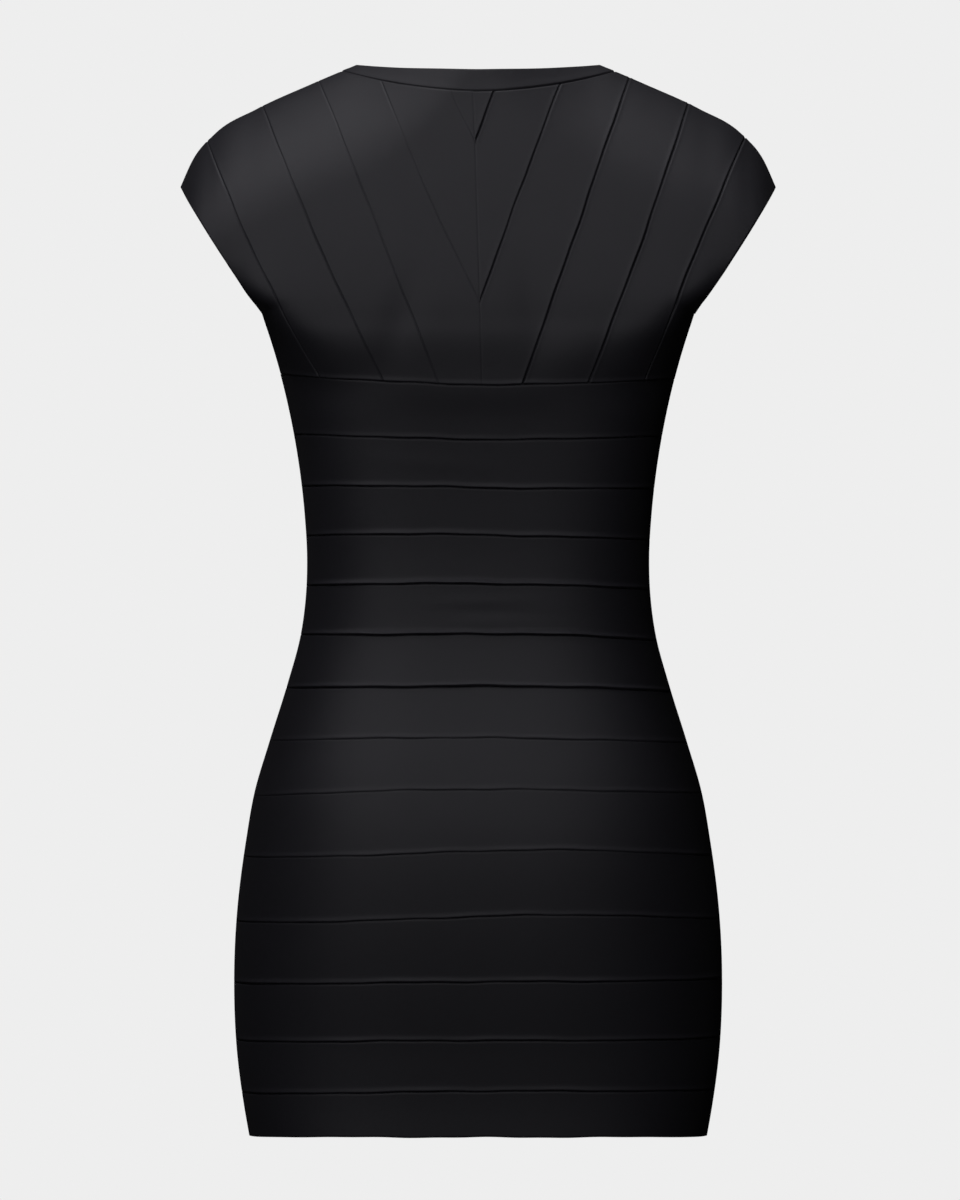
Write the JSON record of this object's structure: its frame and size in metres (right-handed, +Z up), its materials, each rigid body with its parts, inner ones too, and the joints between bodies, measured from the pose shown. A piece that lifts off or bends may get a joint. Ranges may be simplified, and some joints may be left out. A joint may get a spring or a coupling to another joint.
{
  "type": "bodycon dress",
  "caption": "Short bodycon dress of black bandage knit, with cap sleeves, a round neckband and a yoke of slanting strips, in the hollow form that it has when worn.",
  "frame": {"origin": "where the dress is held when worn: midway between the two high shoulder points, level with them", "axes": "+Z up, +Y the way the wearer faces (the front), +X the wearer's right. The back of the dress faces -Y"},
  "size_m": [0.447, 0.2276, 0.802],
  "materials": {
    "bandage_knit": "heavy black stretch knit in bands, matt with a soft sheen",
    "neckband_knit": "black stretch knit, doubled into a smooth neckband"
  },
  "bodies": {
    "root": {"back_neckband": "neckband_knit", "front_neckband": "neckband_knit", "back_yoke_left_1": "bandage_knit", "back_yoke_left_2": "bandage_knit", "back_yoke_left_3": "bandage_knit", "back_yoke_left_4": "bandage_knit", "back_yoke_left_5": "bandage_knit", "back_yoke_left_6": "bandage_knit", "back_yoke_right_1": "bandage_knit", "back_yoke_right_2": "bandage_knit", "back_yoke_right_3": "bandage_knit", "back_yoke_right_4": "bandage_knit", "back_yoke_right_5": "bandage_knit", "back_yoke_right_6": "bandage_knit", "front_yoke_left_1": "bandage_knit", "front_yoke_left_2": "bandage_knit", "front_yoke_left_3": "bandage_knit", "front_yoke_left_4": "bandage_knit", "front_yoke_left_5": "bandage_knit", "front_yoke_left_6": "bandage_knit", "front_yoke_right_1": "bandage_knit", "front_yoke_right_2": "bandage_knit", "front_yoke_right_3": "bandage_knit", "front_yoke_right_4": "bandage_knit", "front_yoke_right_5": "bandage_knit", "front_yoke_right_6": "bandage_knit", "back_band_01": "bandage_knit", "back_band_02": "bandage_knit", "back_band_03": "bandage_knit", "back_band_04": "bandage_knit", "back_band_05": "bandage_knit", "back_band_06": "bandage_knit", "back_band_07": "bandage_knit", "back_band_08": "bandage_knit", "back_band_09": "bandage_knit", "back_band_10": "bandage_knit", "back_band_11": "bandage_knit", "back_band_12": "bandage_knit", "back_band_13": "bandage_knit", "back_band_14": "bandage_knit", "front_band_01": "bandage_knit", "front_band_02": "bandage_knit", "front_band_03": "bandage_knit", "front_band_04": "bandage_knit", "front_band_05": "bandage_knit", "front_band_06": "bandage_knit", "front_band_07": "bandage_knit", "front_band_08": "bandage_knit", "front_band_09": "bandage_knit", "front_band_10": "bandage_knit", "front_band_11": "bandage_knit", "front_band_12": "bandage_knit", "front_band_13": "bandage_knit", "front_band_14": "bandage_knit"}
  },
  "joints": []
}
